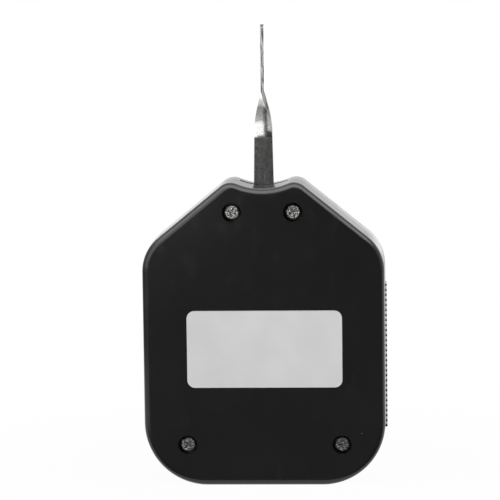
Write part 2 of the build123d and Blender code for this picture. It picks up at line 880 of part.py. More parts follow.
def dial_plate():
    """Dial disc with a hole for the arbor and an edge slot for the stop pin."""
    top = dial_z + dial_thick
    dial = disc(dial_radius, dial_z, top) - disc(dial_hole_radius, dial_z, top)
    slack = stop_pin_radius + stop_pin_play
    slot = wedge(dial_radius + 1, zero_range + degrees(slack / stop_pin_distance))
    slot -= Circle(stop_pin_distance - slack)
    return Pos(0, dial_height) * (dial - Pos(0, 0, dial_z) * extrude(slot, dial_thick))


def lens_spacer():
    """Ring between dial and lens that keeps the pointer free."""
    low = dial_z + dial_thick
    ring = ring_of(
        [
            (spacer_inner_radius + spacer_slope, low),
            (dial_radius, low),
            (dial_radius, lens_z),
            (spacer_inner_radius, lens_z),
        ]
    )
    return Pos(0, dial_height) * ring


def lens():
    """Clear lens under the lip of the bezel, its middle raised on a sloping edge."""
    rim_top = lens_z + lens_thick
    slope_radius = bezel_lip_radius - lens_crown / 2
    clear_lens = ring_of(
        [
            (0, lens_z + lens_crown),
            (lens_crown_radius, lens_z + lens_crown),
            (slope_radius, lens_z),
            (dial_radius, lens_z),
            (dial_radius, rim_top),
            (slope_radius, rim_top),
            (lens_crown_radius, rim_top + lens_crown),
            (0, rim_top + lens_crown),
        ]
    )
    return Pos(0, dial_height) * clear_lens


PIECES = {
    "back_cover": back_cover,
    "front_case": front_case,
    "case_screws": case_screws,
    "blank_label": blank_label,
    "rear_plate": rear_plate,
    "front_plate": front_plate,
    "plate_pillars": plate_pillars,
    "plate_screws": plate_screws,
    "movement_screws": movement_screws,
    "lever_bushes": lambda: bush_pair(pivot_height, lever_pivot_radius, lever_pivot_radius),
    "pointer_bushes": lambda: bush_pair(dial_height, arbor_front_radius, arbor_pivot_radius),
    "travel_stops": travel_stops,
    "main_spring": main_spring,
    "main_spring_stud": lambda: spring_stud(
        main_stud_spot(), main_spring_z, main_spring_height, main_spring_thick
    ),
    "hairspring": hairspring,
    "hairspring_stud": lambda: spring_stud(
        hair_stud_spot(), hairspring_z, hairspring_height, hairspring_thick
    ),
    "bezel_snap_ring": bezel_snap_ring,
    "zero_stop_pin": zero_stop_pin,
    "feeler_lever": feeler_lever,
    "lever_hub": lever_hub,
    "lever_shaft": lever_shaft,
    "lever_rivets": lever_rivets,
    "sector_gear": sector_gear,
    "counterweight": counterweight,
    "main_spring_collet": lambda: spring_collet(
        main_spring_start, lever_shaft_radius, main_spring_z, main_spring_height, pivot_height
    ),
    "pointer_arbor": pointer_arbor,
    "pinion": pinion,
    "hairspring_collet": lambda: spring_collet(
        hairspring_start, arbor_radius, hairspring_z, hairspring_height, dial_height
    ),
    "pointer": pointer,
    "pointer_hub": pointer_hub,
    "bezel_ring": bezel_ring,
    "lens": lens,
    "lens_spacer": lens_spacer,
    "dial_plate": dial_plate,
}


os.makedirs("parts", exist_ok=True)
for name, make in PIECES.items():
    made = make()
    if isinstance(made, list):
        made = Compound(children=[Compound(part.solids()) for part in made])
    standing = stand_up(made)
    export_step(standing, f"parts/{name}.step")
    print(name, len(standing.solids()), "solid", round(standing.volume, 1), "mm3")
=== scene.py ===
# %% [markdown]
# # A lever type force gauge
# The gauge is a small black moulded case with a steel lever standing out of its top. The case, the
# gears, the dial and the bezel come ready made from the CAD frame, at their real size and place.
# This script gives each of them the surface that the real one has, makes the finer pieces, and sets
# up the light and the camera. The photograph shows the back of the gauge.

# %% Load the frame
import json
import math

import bmesh
import bpy
from mathutils import Matrix, Vector


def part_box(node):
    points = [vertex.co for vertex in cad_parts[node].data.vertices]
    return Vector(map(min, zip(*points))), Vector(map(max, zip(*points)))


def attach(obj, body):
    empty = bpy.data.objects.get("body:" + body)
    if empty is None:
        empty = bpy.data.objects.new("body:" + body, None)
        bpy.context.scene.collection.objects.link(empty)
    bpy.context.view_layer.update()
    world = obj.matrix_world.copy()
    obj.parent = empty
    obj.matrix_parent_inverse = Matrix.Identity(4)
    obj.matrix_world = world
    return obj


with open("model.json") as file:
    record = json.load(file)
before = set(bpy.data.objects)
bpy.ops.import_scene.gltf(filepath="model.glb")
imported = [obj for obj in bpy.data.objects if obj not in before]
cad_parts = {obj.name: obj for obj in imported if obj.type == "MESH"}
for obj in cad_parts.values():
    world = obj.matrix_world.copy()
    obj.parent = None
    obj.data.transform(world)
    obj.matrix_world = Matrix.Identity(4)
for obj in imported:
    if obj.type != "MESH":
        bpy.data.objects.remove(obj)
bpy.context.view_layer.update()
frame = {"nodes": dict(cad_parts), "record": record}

mm = 0.001

# %% [markdown]
# ## Where the camera stands
# The photograph looks at the back of the gauge, about 3 degrees off square and 7 degrees from above.
# The two side edges run together slightly towards the base, which puts the camera about twelve times
# as far away as the case is wide. The object also leans by 0.7 degrees in the picture, so the camera
# is rolled. Azimuth 0 looks along +Y, so the back of the case is seen from 183. The lens follows from
# the number of pixels that a slope of 1 covers, which is the focal length in pixels.

# %% Camera
image_width = 500
sensor_width = 36.0
camera_azimuth = math.radians(183.3)
camera_elevation = math.radians(7.0)
camera_roll = math.radians(-0.72)
camera_distance = 740 * mm
camera_target = Vector((3.83, 0, 60.01)) * mm
pixels_per_unit_slope = 2845.4

towards_camera = Vector((
    math.sin(camera_azimuth) * math.cos(camera_elevation),
    -math.cos(camera_azimuth) * math.cos(camera_elevation),
    math.sin(camera_elevation),
))
camera_data = bpy.data.cameras.new("studio_camera")
camera_data.sensor_width = sensor_width
camera_data.lens = sensor_width * pixels_per_unit_slope / image_width
camera_data.clip_start = 10 * mm
camera_data.clip_end = 10
camera = bpy.data.objects.new("studio_camera", camera_data)
bpy.context.scene.collection.objects.link(camera)
camera.location = camera_target + towards_camera * camera_distance
turn = (-towards_camera).to_track_quat("-Z", "Y").to_matrix() @ Matrix.Rotation(camera_roll, 3, "Z")
camera.rotation_euler = turn.to_euler()
bpy.context.scene.camera = camera
print("lens", round(camera_data.lens, 1), "mm at", [round(v, 3) for v in camera.location])

# %% [markdown]
# ## Colours
# A designer picks colours as sRGB hex values, which are spaced as the eye sees them. A shader works
# with amounts of light, which are linear. The values could be converted by hand, but one function
# does it the same way for every material and keeps the familiar hex values in the script.

# %% Colours
def linear(hex_value):
    """Linear colour with alpha, from an sRGB hex value such as 1c1c1d."""
    parts = [int(hex_value[i:i + 2], 16) / 255 for i in (0, 2, 4)]
    steps = [p / 12.92 if p <= 0.04045 else ((p + 0.055) / 1.055) ** 2.4 for p in parts]
    return (*steps, 1.0)


print("1c1c1d in linear light is", [round(v, 4) for v in linear("1c1c1d")])

# %% [markdown]
# ## Shader nodes
# One function adds a shader node with its settings and its links in one call, which keeps a long
# material readable. Sockets that share a name, as on a Math or a Mix node, are reached by number, and
# the numbers of the Mix node get names here. Every pattern reads Object coordinates, which are
# metres, so a noise of scale 1 / d has features of about d metres, and each scale below is worked out
# from a real size. Noise seldom leaves the range from 0.3 to 0.7, so most of the ramps that follow it
# run between those two.

# %% Node helpers
mix_factor, mix_number_a, mix_number_b, mix_colour_a, mix_colour_b = 0, 2, 3, 6, 7
mixed_number, mixed_colour = 0, 2


def add_node(material, kind, settings=None, links=None):
    """Adds a shader node to a material or a world, sets its sockets or properties, and links outputs to
    its inputs. The setting color_ramp is a list of stops, each a place from 0 to 1 and a colour."""
    node = material.node_tree.nodes.new(kind)
    for name, value in (settings or {}).items():
        if name == "color_ramp":
            elements = node.color_ramp.elements
            while len(elements) < len(value):
                elements.new(1.0)
            for element, (place, colour) in zip(elements, value):
                element.position = place
                element.color = colour
        elif isinstance(name, str) and hasattr(node, name):
            setattr(node, name, value)
        else:
            node.inputs[name].default_value = value
    for name, source in (links or {}).items():
        material.node_tree.links.new(source, node.inputs[name])
    return node


def empty_material(name):
    """A node material that holds its Object coordinates only."""
    material = bpy.data.materials.new(name)
    material.use_nodes = True
    material.node_tree.nodes.clear()
    return material, add_node(material, "ShaderNodeTexCoord").outputs["Object"]


def new_material(name):
    """A node material with a Principled shader on its output, and its Object coordinates."""
    material, place = empty_material(name)
    shader = add_node(material, "ShaderNodeBsdfPrincipled")
    add_node(material, "ShaderNodeOutputMaterial", links={"Surface": shader.outputs["BSDF"]})
    return material, shader, place


def join(material, shader, **sockets):
    """Links outputs to the shader's inputs, named with underscores for spaces."""
    for name, source in sockets.items():
        material.node_tree.links.new(source, shader.inputs[name.replace("_", " ")])


print("a Mix node takes its two colours at sockets", mix_colour_a, "and", mix_colour_b)

# %% [markdown]
# ## Specks of dust on the case
# Black plastic shows every speck. Specks could be scattered as tiny pieces, but they are too small
# to need a shape, so the shader draws them. They are small discs around scattered points, and a
# random colour that each point has picks the few that are shown.

# %% Specks of dust
speck_spacing = 5 * mm
speck_radius = 0.11 * mm
share_left_clean = 0.8


def dust_specks(material, place):
    """1 inside a few small specks, and 0 elsewhere."""
    points = add_node(material, "ShaderNodeTexVoronoi", {"Scale": 1 / speck_spacing}, {"Vector": place})
    near = add_node(
        material, "ShaderNodeMath", {"operation": "LESS_THAN", 1: speck_radius / speck_spacing},
        {0: points.outputs["Distance"]})
    chance = add_node(material, "ShaderNodeSeparateColor", links={"Color": points.outputs["Color"]})
    picked = add_node(
        material, "ShaderNodeMath", {"operation": "GREATER_THAN", 1: share_left_clean},
        {0: chance.outputs["Red"]})
    return add_node(
        material, "ShaderNodeMath", {"operation": "MULTIPLY"},
        {0: near.outputs[0], 1: picked.outputs[0]}).outputs[0]


print("specks of dust are", round(2 * speck_radius / mm, 2), "mm wide")

# %% [markdown]
# ## Case: black ABS, moulded with a fine satin texture
# The mould of such a case is spark eroded, which leaves a grain of about a third of a millimetre.
# The face looks flat dark grey, and the rounded edges and the walls seen at a low angle turn bright,
# because plastic mirrors more and more light as the view gets flatter. Handling leaves faint scuffs.
# They could be painted as an image, but noise in Object coordinates covers every side without a seam.

# %% Case material
def moulded_abs_satin():
    material, shader, place = new_material("ABS_moulded_satin_black")
    shader.inputs["IOR"].default_value = 1.5
    shade_size = 14 * mm
    shade = add_node(
        material, "ShaderNodeTexNoise", {"Scale": 1 / shade_size, "Detail": 3.0}, {"Vector": place})
    tone = add_node(
        material, "ShaderNodeValToRGB",
        {"color_ramp": [(0.3, linear("161617")), (0.7, linear("19191a"))]},
        {"Fac": shade.outputs["Fac"]})
    dusty = add_node(
        material, "ShaderNodeMix", {"data_type": "RGBA", mix_colour_b: linear("6a6a68")},
        {mix_factor: dust_specks(material, place), mix_colour_a: tone.outputs["Color"]})
    # Scuffs from hands and benches: a few duller clouds, a little longer than wide
    scuff_width, scuff_length = 4 * mm, 7 * mm
    stretch = add_node(
        material, "ShaderNodeMapping",
        {"Scale": (1 / scuff_width, 1 / scuff_width, 1 / scuff_length)}, {"Vector": place})
    rub = add_node(
        material, "ShaderNodeTexNoise", {"Scale": 1.0, "Detail": 5.0},
        {"Vector": stretch.outputs["Vector"]})
    gloss = add_node(
        material, "ShaderNodeMapRange",
        {"From Min": 0.55, "From Max": 0.75, "To Min": 0.21, "To Max": 0.29},
        {"Value": rub.outputs["Fac"]})
    grain_size = 0.3 * mm
    grain = add_node(
        material, "ShaderNodeTexNoise", {"Scale": 1 / grain_size, "Detail": 2.0}, {"Vector": place})
    relief = add_node(
        material, "ShaderNodeBump", {"Strength": 0.2, "Distance": 0.01 * mm},
        {"Height": grain.outputs["Fac"]})
    join(material, shader, Base_Color=dusty.outputs[mixed_colour], Roughness=gloss.outputs["Result"],
         Normal=relief.outputs["Normal"])
    return material


case_plastic = moulded_abs_satin()
print(case_plastic.name, "has", len(case_plastic.node_tree.nodes), "nodes")

# %% [markdown]
# ## Bezel: black ABS from a polished mould
# The turning ring and the spacer under the lens are smoother than the case, so their highlights
# are sharper. Finger marks cloud them a little. One noise makes both the lighter tone and the duller
# gloss of a mark, because on a real ring the two lie in the same places.

# %% Bezel material
def moulded_abs_gloss():
    material, shader, place = new_material("ABS_moulded_gloss_black")
    shader.inputs["IOR"].default_value = 1.5
    smear_size = 5 * mm
    smear = add_node(
        material, "ShaderNodeTexNoise", {"Scale": 1 / smear_size, "Detail": 4.0}, {"Vector": place})
    tone = add_node(
        material, "ShaderNodeValToRGB",
        {"color_ramp": [(0.35, linear("151515")), (0.7, linear("1e1e1f"))]},
        {"Fac": smear.outputs["Fac"]})
    gloss = add_node(
        material, "ShaderNodeMapRange",
        {"From Min": 0.3, "From Max": 0.7, "To Min": 0.20, "To Max": 0.30},
        {"Value": smear.outputs["Fac"]})
    join(material, shader, Base_Color=tone.outputs["Color"], Roughness=gloss.outputs["Result"])
    return material


bezel_plastic = moulded_abs_gloss()
print(bezel_plastic.name, "has", len(bezel_plastic.node_tree.nodes), "nodes")

# %% [markdown]
# ## Metals
# Polished metal has no colour of its own beyond the tint of its mirror, so each one here is metallic 1
# with the tint of that metal, and the way it was made shows in its roughness and its fine lines.
# Nickel plate on a screw is dimpled by the driver, turned pieces have rings, tempered springs are
# blue, and stamped brass is cloudy. They differ only in tint and pattern, so one function makes all
# four. The dimples are drawn deeper than real ones, because shallow ones don't show at this distance.

# %% Metal materials
def bare_metal(name, dark, light, patch_size, rough, line_size=None, line_relief=0.0):
    """A metal with cloudy tint, and with fine lines where line_size gives their size along x, y and z."""
    material, shader, place = new_material(name)
    shader.inputs["Metallic"].default_value = 1.0
    cloud = add_node(
        material, "ShaderNodeTexNoise", {"Scale": 1 / patch_size, "Detail": 4.0}, {"Vector": place})
    tone = add_node(
        material, "ShaderNodeValToRGB", {"color_ramp": [(0.3, linear(dark)), (0.65, linear(light))]},
        {"Fac": cloud.outputs["Fac"]})
    height = cloud.outputs["Fac"]
    if line_size:
        stretch = add_node(
            material, "ShaderNodeMapping", {"Scale": tuple(1 / size for size in line_size)},
            {"Vector": place})
        lines = add_node(
            material, "ShaderNodeTexNoise", {"Scale": 1.0, "Detail": 2.0},
            {"Vector": stretch.outputs["Vector"]})
        height = lines.outputs["Fac"]
    gloss = add_node(
        material, "ShaderNodeMapRange",
        {"From Min": 0.3, "From Max": 0.7, "To Min": rough[0], "To Max": rough[1]}, {"Value": height})
    join(material, shader, Base_Color=tone.outputs["Color"], Roughness=gloss.outputs["Result"])
    if line_relief:
        relief = add_node(
            material, "ShaderNodeBump", {"Strength": 0.5, "Distance": line_relief}, {"Height": height})
        join(material, shader, Normal=relief.outputs["Normal"])
    return material


nickel_plate = bare_metal(
    "nickel_plated_steel_worn", "7c7c7a", "e6e6e3", patch_size=0.5 * mm, rough=(0.16, 0.46),
    line_size=(0.5 * mm, 0.5 * mm, 0.5 * mm), line_relief=0.26 * mm)
turned_steel = bare_metal(
    "steel_turned", "a3a3a0", "c9c9c6", patch_size=1.5 * mm, rough=(0.2, 0.34),
    line_size=(2 * mm, 0.1 * mm, 2 * mm), line_relief=0.004 * mm)
tempered_steel = bare_metal(
    "spring_steel_tempered_blue", "39445c", "5d6b86", patch_size=1.5 * mm, rough=(0.2, 0.32))
stamped_brass = bare_metal(
    "brass_stamped_and_brushed", "a9854a", "d2ad68", patch_size=4 * mm, rough=(0.24, 0.4),
    line_size=(0.12 * mm, 2 * mm, 5 * mm), line_relief=0.006 * mm)
for metal in (nickel_plate, turned_steel, tempered_steel, stamped_brass):
    print(metal.name, "has", len(metal.node_tree.nodes), "nodes")

# %% [markdown]
# ## Lever: a twisted strip, made straight for its pattern
# The lever is a strip of spring steel with a quarter turn twist, and its rolling and shearing marks
# turn with it. A pattern that follows the strip could be laid out with a UV map. It is simpler to
# turn the coordinates back by the angle of the twist at each height, because after that the strip is
# straight for the shader. A point on a flat side is then half a thickness away from the middle, and
# a point on one of the narrow sheared sides is nearer to it.

# %% Straight coordinates of the strip
lever_low, lever_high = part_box("feeler_lever")
strip_middle = (lever_low[1] + lever_high[1]) / 2
half_thickness = 0.45 * mm
twist_low, twist_high = 89.4 * mm, 101.4 * mm


def straightened(material, place, height):
    """Object coordinates, turned back about the strip's middle by the twist at that height."""
    twist = add_node(
        material, "ShaderNodeMapRange",
        {"From Min": twist_low, "From Max": twist_high, "To Min": 0.0, "To Max": math.pi / 2},
        {"Value": height})
    return add_node(
        material, "ShaderNodeVectorRotate",
        {"rotation_type": "Z_AXIS", "Center": (0, strip_middle, 0)},
        {"Vector": place, "Angle": twist.outputs["Result"]}).outputs["Vector"]


def sheared_share(material, straight):
    """0 on the two rolled sides and 1 on the sheared ones, with a soft step where they meet."""
    rolled_depth, sheared_depth = half_thickness - 0.02 * mm, half_thickness - 0.05 * mm
    depth = add_node(material, "ShaderNodeSeparateXYZ", links={"Vector": straight}).outputs["Y"]
    from_middle = add_node(
        material, "ShaderNodeMath", {"operation": "SUBTRACT", 1: strip_middle}, {0: depth})
    distance = add_node(
        material, "ShaderNodeMath", {"operation": "ABSOLUTE"}, {0: from_middle.outputs[0]})
    return add_node(
        material, "ShaderNodeMapRange", {"From Min": rolled_depth, "From Max": sheared_depth},
        {"Value": distance.outputs[0]}).outputs["Result"]


print("the twist is", round((twist_high - twist_low) / mm, 1), "mm long")

# %% [markdown]
# ## Lever: its rolled sides
# The flat sides of the strip are rolled nearly to a mirror. They have a fine pitted grain, and smears
# that are a little duller. A clean mirror would be simpler, but it would look like glass, and the
# grain is what tells the eye that this is steel.

# %% Rolled sides
def rolled_side(material, straight):
    """Tone, roughness and height of the rolled sides."""
    pit_size = 0.35 * mm
    pit_share = 0.2
    smear_size = 1.2 * mm
    pits = add_node(
        material, "ShaderNodeTexNoise", {"Scale": 1 / pit_size, "Detail": 3.0, "Roughness": 0.6},
        {"Vector": straight})
    tone = add_node(
        material, "ShaderNodeValToRGB",
        {"color_ramp": [(0.35, linear("a6a6a5")), (0.65, linear("cfcfcd"))]},
        {"Fac": pits.outputs["Fac"]})
    smears = add_node(
        material, "ShaderNodeTexNoise", {"Scale": 1 / smear_size, "Detail": 4.0, "Roughness": 0.7},
        {"Vector": straight})
    gloss = add_node(
        material, "ShaderNodeMapRange",
        {"From Min": 0.42, "From Max": 0.62, "To Min": 0.18, "To Max": 0.22},
        {"Value": smears.outputs["Fac"]})
    shallow_pits = add_node(
        material, "ShaderNodeMath", {"operation": "MULTIPLY", 1: pit_share}, {0: pits.outputs["Fac"]})
    return tone.outputs["Color"], gloss.outputs["Result"], shallow_pits.outputs[0]


print("the lever is", round((lever_high[2] - lever_low[2]) / mm, 1), "mm long")

# %% [markdown]
# ## Lever: its sheared sides
# The two narrow sides are torn by the shears. The tears run along the strip and are about a third of
# a millimetre wide, so they are one noise, stretched along the strip. The round end at the top has a
# painted shade: a ramp over the height multiplies its colour darker.

# %% Sheared sides
# Heights over which the round end gets its painted shade.
end_low, end_high = lever_high[2] - 1.3 * mm, lever_high[2] - 0.5 * mm


def sheared_side(material, straight, height):
    """Tone, with a painted shade on the round end, and height of the sheared sides."""
    tear_width, tear_length = 0.3 * mm, 2.2 * mm
    stretch = add_node(
        material, "ShaderNodeMapping",
        {"Scale": (1 / tear_width, 1 / tear_width, 1 / tear_length)}, {"Vector": straight})
    tears = add_node(
        material, "ShaderNodeTexNoise", {"Scale": 1.0, "Detail": 3.0},
        {"Vector": stretch.outputs["Vector"]})
    tone = add_node(
        material, "ShaderNodeValToRGB",
        {"color_ramp": [(0.38, linear("666665")), (0.6, linear("c6c6c4"))]},
        {"Fac": tears.outputs["Fac"]})
    # Painted shade: the colour of the round end is multiplied darker towards the top.
    painted_end_shade = add_node(
        material, "ShaderNodeMapRange",
        {"From Min": end_low, "From Max": end_high, "To Min": 1.0, "To Max": 0.3}, {"Value": height})
    tone_with_painted_end_shade = add_node(
        material, "ShaderNodeMix", {"data_type": "RGBA", "blend_type": "MULTIPLY", mix_factor: 1.0},
        {mix_colour_a: tone.outputs["Color"], mix_colour_b: painted_end_shade.outputs["Result"]})
    return tone_with_painted_end_shade.outputs[mixed_colour], tears.outputs["Fac"]


print("the end darkens above a height of", round(end_low / mm, 1), "mm")

# %% [markdown]
# ## Lever: spring steel strip, rolled and sheared
# Rough torn steel catches light from all over, and the smooth rolled sides mirror the cards round the
# gauge. The two kinds of side could be two materials, but the strip is one piece, so the share of
# shearing mixes between them and makes a soft step at its edges.

# %% Lever material
def rolled_strip_steel():
    material, shader, place = new_material("spring_steel_strip_rolled_and_sheared")
    shader.inputs["Metallic"].default_value = 1.0
    height = add_node(material, "ShaderNodeSeparateXYZ", links={"Vector": place}).outputs["Z"]
    straight = straightened(material, place, height)
    sheared = sheared_share(material, straight)
    rolled_tone, rolled_gloss, rolled_height = rolled_side(material, straight)
    torn_tone, torn_height = sheared_side(material, straight, height)
    torn_roughness = 0.5
    tone = add_node(
        material, "ShaderNodeMix", {"data_type": "RGBA"},
        {mix_factor: sheared, mix_colour_a: rolled_tone, mix_colour_b: torn_tone})
    gloss = add_node(
        material, "ShaderNodeMix", {mix_number_b: torn_roughness},
        {mix_factor: sheared, mix_number_a: rolled_gloss})
    surface = add_node(
        material, "ShaderNodeMix",
        links={mix_factor: sheared, mix_number_a: rolled_height, mix_number_b: torn_height})
    relief = add_node(
        material, "ShaderNodeBump", {"Strength": 0.6, "Distance": 0.06 * mm},
        {"Height": surface.outputs[mixed_number]})
    join(material, shader, Base_Color=tone.outputs[mixed_colour], Roughness=gloss.outputs[mixed_number],
         Normal=relief.outputs["Normal"])
    return material


strip_steel = rolled_strip_steel()
print(strip_steel.name, "has", len(strip_steel.node_tree.nodes), "nodes")

# %% [markdown]
# ## Printed and painted parts
# The sticker is a vinyl film with a satin metallic grey face, left bare. The dial is sprayed white,
# the pointer is sprayed satin black, and the scale is ink. All four are thin coats over something
# else, with an even colour, slight clouds and a very shallow texture. So one function makes them,
# and only the tones and sizes differ.

# %% Sticker, enamel and ink
def coated(name, dark, light, patch_size, rough, grain_size, grain_relief):
    """A paint or film: an even colour with slight clouds, and a fine surface texture."""
    material, shader, place = new_material(name)
    shader.inputs["IOR"].default_value = 1.48
    cloud = add_node(
        material, "ShaderNodeTexNoise", {"Scale": 1 / patch_size, "Detail": 3.0}, {"Vector": place})
    tone = add_node(
        material, "ShaderNodeValToRGB", {"color_ramp": [(0.3, linear(dark)), (0.7, linear(light))]},
        {"Fac": cloud.outputs["Fac"]})
    gloss = add_node(
        material, "ShaderNodeMapRange",
        {"From Min": 0.3, "From Max": 0.7, "To Min": rough[0], "To Max": rough[1]},
        {"Value": cloud.outputs["Fac"]})
    grain = add_node(
        material, "ShaderNodeTexNoise", {"Scale": 1 / grain_size, "Detail": 2.0}, {"Vector": place})
    relief = add_node(
        material, "ShaderNodeBump", {"Strength": 0.3, "Distance": grain_relief},
        {"Height": grain.outputs["Fac"]})
    join(material, shader, Base_Color=tone.outputs["Color"], Roughness=gloss.outputs["Result"],
         Normal=relief.outputs["Normal"])
    return material


sticker_film = coated(
    "vinyl_film_satin_grey", "c1c1c1", "c7c7c7", patch_size=9 * mm, rough=(0.42, 0.55),
    grain_size=0.35 * mm, grain_relief=0.006 * mm)
white_enamel = coated(
    "enamel_sprayed_white", "e6e5df", "ecebe6", patch_size=12 * mm, rough=(0.45, 0.6),
    grain_size=0.5 * mm, grain_relief=0.004 * mm)
black_enamel = coated(
    "enamel_sprayed_black", "161616", "1d1d1e", patch_size=3 * mm, rough=(0.4, 0.55),
    grain_size=0.2 * mm, grain_relief=0.004 * mm)
printing_ink = coated(
    "ink_pad_printed_black", "101010", "191919", patch_size=1 * mm, rough=(0.5, 0.65),
    grain_size=0.1 * mm, grain_relief=0.002 * mm)
for coat in (sticker_film, white_enamel, black_enamel, printing_ink):
    print(coat.name, "has", len(coat.node_tree.nodes), "nodes")

# %% [markdown]
# ## Lens: clear moulded acrylic
# The window over the dial is a clear disc, so nearly all light goes through it and it shows by its
# mirror image only. It could be left perfectly smooth, but faint smears keep that image from looking
# drawn.

# %% Lens material
def clear_acrylic():
    material, shader, place = new_material("acrylic_moulded_clear")
    shader.inputs["Base Color"].default_value = linear("fbfdfd")
    shader.inputs["IOR"].default_value = 1.49
    shader.inputs["Transmission Weight"].default_value = 1.0
    smear_size = 6 * mm
    smear = add_node(
        material, "ShaderNodeTexNoise", {"Scale": 1 / smear_size, "Detail": 3.0}, {"Vector": place})
    gloss = add_node(
        material, "ShaderNodeMapRange",
        {"From Min": 0.4, "From Max": 0.8, "To Min": 0.0, "To Max": 0.04},
        {"Value": smear.outputs["Fac"]})
    join(material, shader, Roughness=gloss.outputs["Result"])
    return material


acrylic = clear_acrylic()
print(acrylic.name, "has", len(acrylic.node_tree.nodes), "nodes")

# %% [markdown]
# ## Finish of every CAD piece
# The record names a material slot for each piece. A dictionary from slot to finish dresses them
# all, so a piece that looks wrong can only be in the wrong slot.

# %% Dress the CAD pieces
finish_of_slot = {
    "case_plastic": case_plastic,
    "bezel_plastic": bezel_plastic,
    "plated_steel": nickel_plate,
    "label_film": sticker_film,
    "brass": stamped_brass,
    "blade_steel": strip_steel,
    "turned_steel": turned_steel,
    "spring_steel": tempered_steel,
    "dial_enamel": white_enamel,
    "pointer_enamel": black_enamel,
    "clear_lens": acrylic,
}
for part in frame["record"]["subparts"]:
    node_object = frame["nodes"][part["node"]]
    node_object.data.materials.clear()
    node_object.data.materials.append(finish_of_slot[part["material_slot"]])

# %% [markdown]
# ## Ink on the dial
# Pad printing lays ink about 0.02 mm thick on the enamel. The scale could be drawn by a shader, but
# as thin pieces it stays sharp from close by. Each piece is shaped as a bmesh in front of the dial's
# face, and it rides with the bezel, because the dial turns with that.

# %% Printed pieces
dial_centre = Vector((0, 0, 31)) * mm
dial_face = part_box("dial_plate")[0][1]
ink_thickness = 0.02 * mm


def printed_piece(name, shape):
    """Turns a bmesh into an inked piece that rides with the dial."""
    bmesh.ops.recalc_face_normals(shape, faces=shape.faces)
    mesh = bpy.data.meshes.new(name)
    shape.to_mesh(mesh)
    shape.free()
    mesh.materials.append(printing_ink)
    piece = bpy.data.objects.new(name, mesh)
    bpy.context.scene.collection.objects.link(piece)
    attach(piece, "bezel")
    print(name, "faces", len(mesh.polygons))


print("the dial's face is at y", round(dial_face / mm, 2), "mm")

# %% [markdown]
# ## Marks of the scale
# The photograph shows only the back of the gauge, so the scale is a plain one: zero at the top and ten
# units to each side, because the lever can be pushed either way. The lever swings 10 degrees and the
# gears turn the pointer 12 times as far, so one unit is 12 degrees. Each mark is a cube, scaled to a
# thin bar and turned about the dial's centre, so a loop makes all of them from three kinds.

# %% Marks
unit_angle = 12.0
marks_per_unit = 5
scale_units = 10
mark_outer = 22.8 * mm
mark_inner = {"unit pair": 20.2 * mm, "unit": 20.9 * mm, "part": 21.5 * mm}
mark_width = {"unit pair": 0.36 * mm, "unit": 0.26 * mm, "part": 0.16 * mm}
marks = bmesh.new()
for step in range(-scale_units * marks_per_unit, scale_units * marks_per_unit + 1):
    kind = "part"
    if step % marks_per_unit == 0:
        kind = "unit"
    if step % (2 * marks_per_unit) == 0:
        kind = "unit pair"
    bar = bmesh.ops.create_cube(marks, size=1)["verts"]
    length = mark_outer - mark_inner[kind]
    bmesh.ops.scale(marks, vec=(mark_width[kind], ink_thickness, length), verts=bar)
    bmesh.ops.translate(
        marks, vec=(0, dial_face - ink_thickness / 2, mark_outer - length / 2), verts=bar)
    turn_to = Matrix.Rotation(math.radians(step * unit_angle / marks_per_unit), 3, "Y")
    bmesh.ops.rotate(marks, cent=(0, 0, 0), matrix=turn_to, verts=bar)
    bmesh.ops.translate(marks, vec=dial_centre, verts=bar)
printed_piece("dial_marks", marks)

# %% [markdown]
# ## Arc along the marks
# A thin line closes the marks on the outside. A ring could be cut out of a disc, but the line stops
# at the last mark on each side. So it is a small rectangle, one unit square before it is scaled, and
# spun about the dial's centre from the one mark to the other.

# %% Arc
arc_radius = 22.9 * mm
arc_width = 0.22 * mm
arc_steps = 160
half_sweep = math.radians(scale_units * unit_angle)
arc = bmesh.new()
section = bmesh.ops.create_grid(arc, x_segments=1, y_segments=1, size=0.5)["verts"]
bmesh.ops.rotate(arc, cent=(0, 0, 0), matrix=Matrix.Rotation(math.pi / 2, 3, "Y"), verts=section)
bmesh.ops.scale(arc, vec=(1, ink_thickness, arc_width), verts=section)
bmesh.ops.translate(arc, vec=(0, dial_face - ink_thickness / 2, arc_radius), verts=section)
bmesh.ops.rotate(arc, cent=(0, 0, 0), matrix=Matrix.Rotation(-half_sweep, 3, "Y"), verts=section)
bmesh.ops.spin(arc, geom=arc.verts[:] + arc.edges[:] + arc.faces[:], cent=(0, 0, 0), axis=(0, 1, 0),
               angle=2 * half_sweep, steps=arc_steps)
bmesh.ops.translate(arc, vec=dial_centre, verts=arc.verts)
printed_piece("dial_arc", arc)

# %% [markdown]
# ## Numbers
# Every second unit has its number, upright and centred on its own radius. Letters are hard to build
# by hand, so each number is a text object with a small extrusion, which becomes a mesh first and is
# then put in its place, and all of them are gathered in one piece.

# %% Numbers
number_height = 3.3 * mm
digit_share_of_size = 0.7
number_radius = 17.4 * mm
outline_steps = 4
merge_distance = 0.001 * mm
numbers = bmesh.new()
for unit in range(-scale_units, scale_units + 1, 2):
    text = bpy.data.curves.new("number", "FONT")
    text.body = str(abs(unit))
    text.align_x = "CENTER"
    text.align_y = "CENTER"
    text.size = number_height / digit_share_of_size
    text.extrude = ink_thickness / 2
    text.resolution_u = outline_steps
    holder = bpy.data.objects.new("number", text)
    bpy.context.scene.collection.objects.link(holder)
    bpy.context.view_layer.update()
    depsgraph = bpy.context.evaluated_depsgraph_get()
    flat = bpy.data.meshes.new_from_object(holder.evaluated_get(depsgraph))
    bpy.data.objects.remove(holder)
    angle = math.radians(unit * unit_angle)
    middle = dial_centre + Vector((math.sin(angle), 0, math.cos(angle))) * number_radius
    middle.y = dial_face - ink_thickness / 2
    flat.transform(Matrix.Translation(middle) @ Matrix.Rotation(math.pi / 2, 4, "X"))
    numbers.from_mesh(flat)
    bpy.data.meshes.remove(flat)
bmesh.ops.remove_doubles(numbers, verts=numbers.verts, dist=merge_distance)
printed_piece("dial_numbers", numbers)

